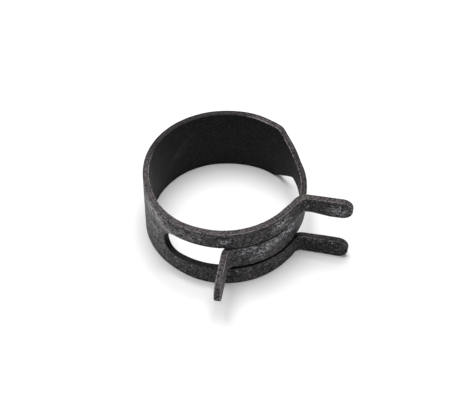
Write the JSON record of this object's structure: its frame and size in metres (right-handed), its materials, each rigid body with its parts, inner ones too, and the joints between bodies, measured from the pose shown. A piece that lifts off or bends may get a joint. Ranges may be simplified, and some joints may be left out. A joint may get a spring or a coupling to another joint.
{
  "type": "hose clamp",
  "caption": "Spring band hose clamp: a strip rolled into a ring, its slotted fork end crossing a tapered tongue end, with bent-out ears that pliers squeeze to open it.",
  "frame": {"origin": "centre of the ring, at half the band's width, with the clamp free", "axes": "+Z along the ring's axis; -Y points between the fork's ears and the tongue's ear, and +Y to the back of the ring; +X is the tongue's side"},
  "size_m": [0.0287, 0.032, 0.012],
  "materials": {
    "spring_steel": "black phosphate on spring steel, satin"
  },
  "bodies": {
    "back_band": {"back_band": "spring_steel"},
    "left_band_1": {"left_band_1": "spring_steel"},
    "left_band_2": {"left_band_2": "spring_steel"},
    "left_band_3": {"left_band_3": "spring_steel"},
    "fork_root": {"fork_root": "spring_steel"},
    "fork_rails_1": {"upper_rail_1": "spring_steel", "lower_rail_1": "spring_steel"},
    "fork_rails_2": {"upper_rail_2": "spring_steel", "lower_rail_2": "spring_steel"},
    "fork_ears": {"upper_rail_3": "spring_steel", "lower_rail_3": "spring_steel", "upper_ear": "spring_steel", "lower_ear": "spring_steel"},
    "right_band_1": {"right_band_1": "spring_steel"},
    "right_band_2": {"right_band_2": "spring_steel"},
    "taper": {"taper": "spring_steel"},
    "tongue_1": {"tongue_1": "spring_steel"},
    "tongue_2": {"tongue_2": "spring_steel"},
    "tongue_3": {"tongue_3": "spring_steel"},
    "tongue_end": {"tongue_4": "spring_steel", "tongue_ear": "spring_steel"}
  },
  "joints": [
    {"name": "fork_flex_1", "type": "hinge", "parent": "back_band", "child": "left_band_1", "pos_m": [-0.00336, 0.01253, 0], "axis": [0, 0, -1], "range_deg": [0, 3.5], "stiffness_Nm_per_rad": 40},
    {"name": "fork_flex_2", "type": "hinge", "parent": "left_band_1", "child": "left_band_2", "pos_m": [-0.00868, 0.00964, 0], "axis": [0, 0, -1], "range_deg": [0, 3.5], "stiffness_Nm_per_rad": 40},
    {"name": "fork_flex_3", "type": "hinge", "parent": "left_band_2", "child": "left_band_3", "pos_m": [-0.01211, 0.00465, 0], "axis": [0, 0, -1], "range_deg": [0, 3.5], "stiffness_Nm_per_rad": 40},
    {"name": "fork_flex_4", "type": "hinge", "parent": "left_band_3", "child": "fork_root", "pos_m": [-0.0129, -0.00136, 0], "axis": [0, 0, -1], "range_deg": [0, 3.5], "stiffness_Nm_per_rad": 36},
    {"name": "fork_flex_5", "type": "hinge", "parent": "fork_root", "child": "fork_rails_1", "pos_m": [-0.01088, -0.00707, 0], "axis": [0, 0, -1], "range_deg": [0, 3.5], "stiffness_Nm_per_rad": 20},
    {"name": "fork_flex_6", "type": "hinge", "parent": "fork_rails_1", "child": "fork_rails_2", "pos_m": [-0.00649, -0.01124, 0], "axis": [0, 0, -1], "range_deg": [0, 3.5], "stiffness_Nm_per_rad": 20},
    {"name": "fork_flex_7", "type": "hinge", "parent": "fork_rails_2", "child": "fork_ears", "pos_m": [-0.00068, -0.01296, 0], "axis": [0, 0, -1], "range_deg": [0, 3.5], "stiffness_Nm_per_rad": 20},
    {"name": "tongue_flex_1", "type": "hinge", "parent": "back_band", "child": "right_band_1", "pos_m": [0.00336, 0.01253, 0], "axis": [0, 0, 1], "range_deg": [0, 3.5], "stiffness_Nm_per_rad": 40},
    {"name": "tongue_flex_2", "type": "hinge", "parent": "right_band_1", "child": "right_band_2", "pos_m": [0.00868, 0.00964, 0], "axis": [0, 0, 1], "range_deg": [0, 3.5], "stiffness_Nm_per_rad": 40},
    {"name": "tongue_flex_3", "type": "hinge", "parent": "right_band_2", "child": "taper", "pos_m": [0.01211, 0.00465, 0], "axis": [0, 0, 1], "range_deg": [0, 3.5], "stiffness_Nm_per_rad": 36},
    {"name": "tongue_flex_4", "type": "hinge", "parent": "taper", "child": "tongue_1", "pos_m": [0.0129, -0.00136, 0], "axis": [0, 0, 1], "range_deg": [0, 3.5], "stiffness_Nm_per_rad": 22},
    {"name": "tongue_flex_5", "type": "hinge", "parent": "tongue_1", "child": "tongue_2", "pos_m": [0.01088, -0.00707, 0], "axis": [0, 0, 1], "range_deg": [0, 3.5], "stiffness_Nm_per_rad": 14},
    {"name": "tongue_flex_6", "type": "hinge", "parent": "tongue_2", "child": "tongue_3", "pos_m": [0.00649, -0.01124, 0], "axis": [0, 0, 1], "range_deg": [0, 3.5], "stiffness_Nm_per_rad": 14},
    {"name": "tongue_flex_7", "type": "hinge", "parent": "tongue_3", "child": "tongue_end", "pos_m": [0.00068, -0.01296, 0], "axis": [0, 0, 1], "range_deg": [0, 3.5], "stiffness_Nm_per_rad": 14}
  ],
  "couplings": [
    {"joint": "fork_flex_2", "follows": "fork_flex_1", "ratio": 1},
    {"joint": "fork_flex_3", "follows": "fork_flex_1", "ratio": 1},
    {"joint": "fork_flex_4", "follows": "fork_flex_1", "ratio": 1},
    {"joint": "fork_flex_5", "follows": "fork_flex_1", "ratio": 1},
    {"joint": "fork_flex_6", "follows": "fork_flex_1", "ratio": 1},
    {"joint": "fork_flex_7", "follows": "fork_flex_1", "ratio": 1},
    {"joint": "tongue_flex_1", "follows": "fork_flex_1", "ratio": 1},
    {"joint": "tongue_flex_2", "follows": "fork_flex_1", "ratio": 1},
    {"joint": "tongue_flex_3", "follows": "fork_flex_1", "ratio": 1},
    {"joint": "tongue_flex_4", "follows": "fork_flex_1", "ratio": 1},
    {"joint": "tongue_flex_5", "follows": "fork_flex_1", "ratio": 1},
    {"joint": "tongue_flex_6", "follows": "fork_flex_1", "ratio": 1},
    {"joint": "tongue_flex_7", "follows": "fork_flex_1", "ratio": 1}
  ]
}
